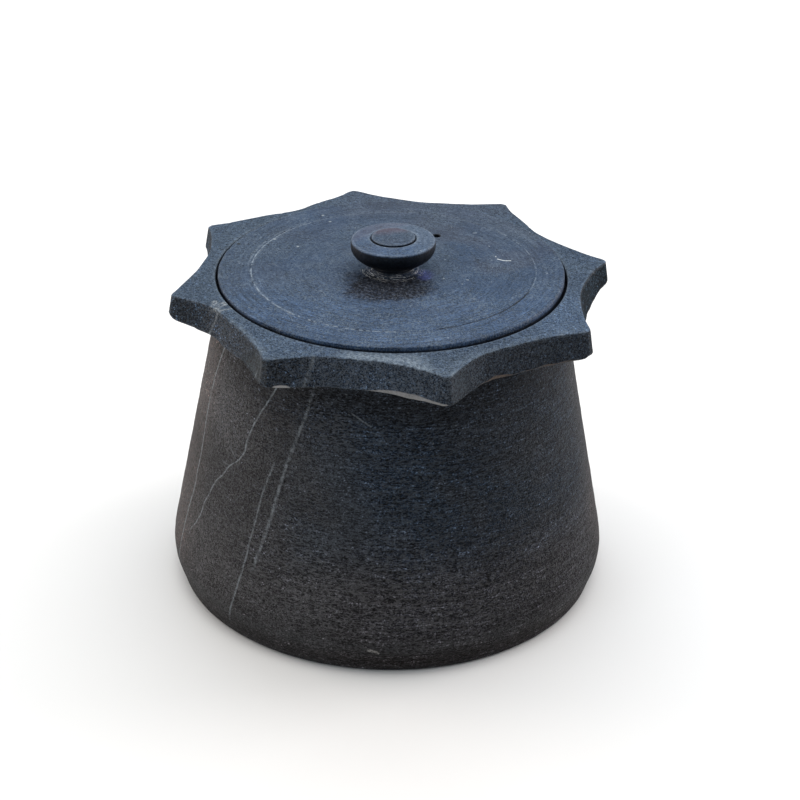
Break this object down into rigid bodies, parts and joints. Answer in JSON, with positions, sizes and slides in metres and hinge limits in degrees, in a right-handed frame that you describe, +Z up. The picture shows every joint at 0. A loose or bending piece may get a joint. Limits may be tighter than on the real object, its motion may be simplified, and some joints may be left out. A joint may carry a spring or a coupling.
{
  "type": "stone pot",
  "caption": "Turned stone cooking pot with an outward-leaning wall, a thick star-shaped rim and a knobbed stone lid that lies in a recess of the rim.",
  "frame": {"origin": "centre of the flat base, on the table", "axes": "+Z up along the turning axis; the picture looks along +Y from in front and above, +X is to the right"},
  "size_m": [0.2239, 0.224, 0.1838],
  "materials": {
    "pot_stone": "dark soapstone, fine turning marks, thinly oiled, satin",
    "lid_stone": "dark blue-grey soapstone, rubbed smooth, satin"
  },
  "bodies": {
    "root": {"pot": "pot_stone", "lid": "lid_stone"}
  },
  "joints": []
}
